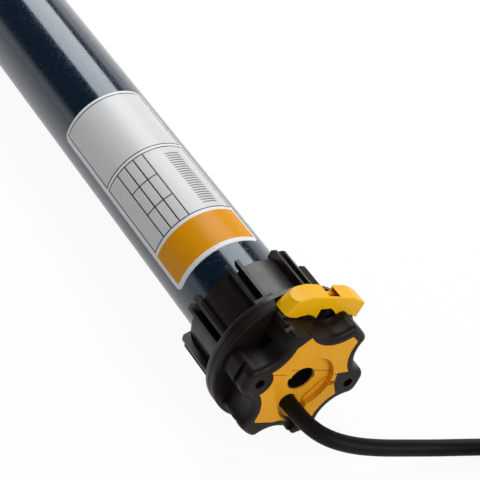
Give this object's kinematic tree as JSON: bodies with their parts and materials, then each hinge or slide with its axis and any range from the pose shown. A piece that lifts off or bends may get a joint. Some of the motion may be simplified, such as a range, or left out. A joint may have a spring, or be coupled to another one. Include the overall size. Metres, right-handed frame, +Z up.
{
  "type": "tubular roller blind motor",
  "caption": "Tubular motor for a roller blind: tube with star-shaped head, ribbed crown that counts turns, limit buttons under a cap, planetary gearbox and drive wheel.",
  "frame": {"origin": "centre of the head's front face, on the tube's axis", "axes": "+X points out of the head along the tube's axis, +Z up as the motor lies, the tube runs towards -X"},
  "size_m": [0.7726, 0.1532, 0.0686],
  "materials": {
    "black_plastic": "fine satin moulded",
    "yellow_plastic": "satin moulded",
    "tube_paint": "dark blue gloss with fine flake",
    "cable_rubber": "smooth black sheath",
    "white_plastic": "moulded",
    "grey_plastic": "moulded",
    "steel": "machined",
    "core_steel": "stacked sheet",
    "cast_aluminium": "die cast",
    "copper": "lacquered copper wire",
    "bronze": "sintered bronze",
    "friction_lining": "dark friction surface",
    "lead_insulation": "smooth insulation"
  },
  "bodies": {
    "housing": {"head_body": "black_plastic", "cover_plate": "yellow_plastic", "cable_plug": "yellow_plastic", "centre_socket": "black_plastic", "setting_switches": "white_plastic", "limit_housing": "white_plastic", "limit_microswitches": "grey_plastic", "motor_tube": "tube_paint", "tube_rivets": "steel", "capacitor": "grey_plastic", "capacitor_cradle": "white_plastic", "brake_plate": "steel", "brake_lining": "friction_lining", "rear_end_shield": "cast_aluminium", "rear_bearing": "steel", "stator_core": "core_steel", "stator_windings": "copper", "front_end_shield": "cast_aluminium", "front_bearing": "steel", "gear_case": "steel", "output_bush": "bronze", "tube_nose": "black_plastic", "nose_rivets": "steel", "motor_leads": "lead_insulation", "supply_cable": "cable_rubber", "cable_coil": "cable_rubber", "core_wires": "lead_insulation", "core_tips": "copper"},
    "button_cap": {"button_cap": "yellow_plastic"},
    "up_button": {"up_button": "black_plastic"},
    "down_button": {"down_button": "black_plastic"},
    "crown": {"crown_adapter": "black_plastic", "crown_ring": "white_plastic"},
    "limit_pinion": {"limit_pinion": "white_plastic"},
    "reduction_gear": {"reduction_gear": "white_plastic"},
    "up_cam": {"up_cam": "grey_plastic"},
    "down_cam": {"down_cam": "grey_plastic"},
    "rotor": {"rotor_shaft": "steel", "rotor_core": "core_steel", "rotor_cage": "cast_aluminium", "brake_spring": "steel"},
    "brake_disc": {"brake_disc": "friction_lining"},
    "first_carrier": {"first_carrier": "steel"},
    "second_carrier": {"second_carrier": "steel"},
    "drive": {"third_carrier": "steel", "drive_wheel": "black_plastic", "wheel_clip": "steel"},
    "first_planet_1": {"first_planet_1": "steel"},
    "first_planet_2": {"first_planet_2": "steel"},
    "first_planet_3": {"first_planet_3": "steel"},
    "second_planet_1": {"second_planet_1": "steel"},
    "second_planet_2": {"second_planet_2": "steel"},
    "second_planet_3": {"second_planet_3": "steel"},
    "third_planet_1": {"third_planet_1": "steel"},
    "third_planet_2": {"third_planet_2": "steel"},
    "third_planet_3": {"third_planet_3": "steel"}
  },
  "joints": [
    {"name": "rotor_spin", "type": "hinge", "parent": "housing", "child": "rotor", "pos_m": [-0.338, 0, 0], "axis": [1, 0, 0], "continuous": true},
    {"name": "brake_release", "type": "slide", "parent": "rotor", "child": "brake_disc", "axis": [-1, 0, 0], "range_m": [0, 0.0006], "stiffness_N_per_m": 2000, "springref_m": -0.002},
    {"name": "first_carrier_spin", "type": "hinge", "parent": "housing", "child": "first_carrier", "pos_m": [-0.46, 0, 0], "axis": [1, 0, 0], "continuous": true},
    {"name": "second_carrier_spin", "type": "hinge", "parent": "housing", "child": "second_carrier", "pos_m": [-0.49, 0, 0], "axis": [1, 0, 0], "continuous": true},
    {"name": "drive_spin", "type": "hinge", "parent": "housing", "child": "drive", "pos_m": [-0.56, 0, 0], "axis": [1, 0, 0], "continuous": true},
    {"name": "first_planet_1_spin", "type": "hinge", "parent": "first_carrier", "child": "first_planet_1", "pos_m": [-0.449, 0.00953, -0.0055], "axis": [1, 0, 0], "continuous": true},
    {"name": "first_planet_2_spin", "type": "hinge", "parent": "first_carrier", "child": "first_planet_2", "pos_m": [-0.449, 0, 0.011], "axis": [1, 0, 0], "continuous": true},
    {"name": "first_planet_3_spin", "type": "hinge", "parent": "first_carrier", "child": "first_planet_3", "pos_m": [-0.449, -0.00953, -0.0055], "axis": [1, 0, 0], "continuous": true},
    {"name": "second_planet_1_spin", "type": "hinge", "parent": "second_carrier", "child": "second_planet_1", "pos_m": [-0.474, 0.00953, -0.0055], "axis": [1, 0, 0], "continuous": true},
    {"name": "second_planet_2_spin", "type": "hinge", "parent": "second_carrier", "child": "second_planet_2", "pos_m": [-0.474, 0, 0.011], "axis": [1, 0, 0], "continuous": true},
    {"name": "second_planet_3_spin", "type": "hinge", "parent": "second_carrier", "child": "second_planet_3", "pos_m": [-0.474, -0.00953, -0.0055], "axis": [1, 0, 0], "continuous": true},
    {"name": "third_planet_1_spin", "type": "hinge", "parent": "drive", "child": "third_planet_1", "pos_m": [-0.507, 0.00953, -0.0055], "axis": [1, 0, 0], "continuous": true},
    {"name": "third_planet_2_spin", "type": "hinge", "parent": "drive", "child": "third_planet_2", "pos_m": [-0.507, 0, 0.011], "axis": [1, 0, 0], "continuous": true},
    {"name": "third_planet_3_spin", "type": "hinge", "parent": "drive", "child": "third_planet_3", "pos_m": [-0.507, -0.00953, -0.0055], "axis": [1, 0, 0], "continuous": true},
    {"name": "crown_spin", "type": "hinge", "parent": "housing", "child": "crown", "pos_m": [-0.034, 0, 0], "axis": [1, 0, 0], "continuous": true},
    {"name": "limit_pinion_spin", "type": "hinge", "parent": "housing", "child": "limit_pinion", "pos_m": [-0.04, -0.0075, -0.01299], "axis": [1, 0, 0], "continuous": true},
    {"name": "reduction_gear_spin", "type": "hinge", "parent": "housing", "child": "reduction_gear", "pos_m": [-0.05, 0, 0], "axis": [1, 0, 0], "continuous": true},
    {"name": "up_cam_spin", "type": "hinge", "parent": "housing", "child": "up_cam", "pos_m": [-0.042, -0.005, 0.00866], "axis": [1, 0, 0], "continuous": true},
    {"name": "down_cam_spin", "type": "hinge", "parent": "housing", "child": "down_cam", "pos_m": [-0.042, 0.01, 0], "axis": [1, 0, 0], "continuous": true},
    {"name": "cap_lift", "type": "slide", "parent": "housing", "child": "button_cap", "axis": [0, 0.5, 0.866], "range_m": [0, 0.012]},
    {"name": "up_button_press", "type": "slide", "parent": "housing", "child": "up_button", "axis": [0, -0.5, -0.866], "range_m": [0, 0.0015], "stiffness_N_per_m": 300, "springref_m": -0.002},
    {"name": "down_button_press", "type": "slide", "parent": "housing", "child": "down_button", "axis": [0, -0.5, -0.866], "range_m": [0, 0.0015], "stiffness_N_per_m": 300, "springref_m": -0.002}
  ],
  "couplings": [
    {"joint": "first_carrier_spin", "follows": "rotor_spin", "ratio": 0.18182},
    {"joint": "second_carrier_spin", "follows": "rotor_spin", "ratio": 0.033058},
    {"joint": "drive_spin", "follows": "rotor_spin", "ratio": 0.0060105},
    {"joint": "first_planet_1_spin", "follows": "rotor_spin", "ratio": -0.46753},
    {"joint": "first_planet_2_spin", "follows": "rotor_spin", "ratio": -0.46753},
    {"joint": "first_planet_3_spin", "follows": "rotor_spin", "ratio": -0.46753},
    {"joint": "second_planet_1_spin", "follows": "rotor_spin", "ratio": -0.085006},
    {"joint": "second_planet_2_spin", "follows": "rotor_spin", "ratio": -0.085006},
    {"joint": "second_planet_3_spin", "follows": "rotor_spin", "ratio": -0.085006},
    {"joint": "third_planet_1_spin", "follows": "rotor_spin", "ratio": -0.015456},
    {"joint": "third_planet_2_spin", "follows": "rotor_spin", "ratio": -0.015456},
    {"joint": "third_planet_3_spin", "follows": "rotor_spin", "ratio": -0.015456},
    {"joint": "limit_pinion_spin", "follows": "crown_spin", "ratio": 4},
    {"joint": "reduction_gear_spin", "follows": "crown_spin", "ratio": -1.1429},
    {"joint": "up_cam_spin", "follows": "crown_spin", "ratio": 0.57143},
    {"joint": "down_cam_spin", "follows": "crown_spin", "ratio": 0.57143}
  ]
}
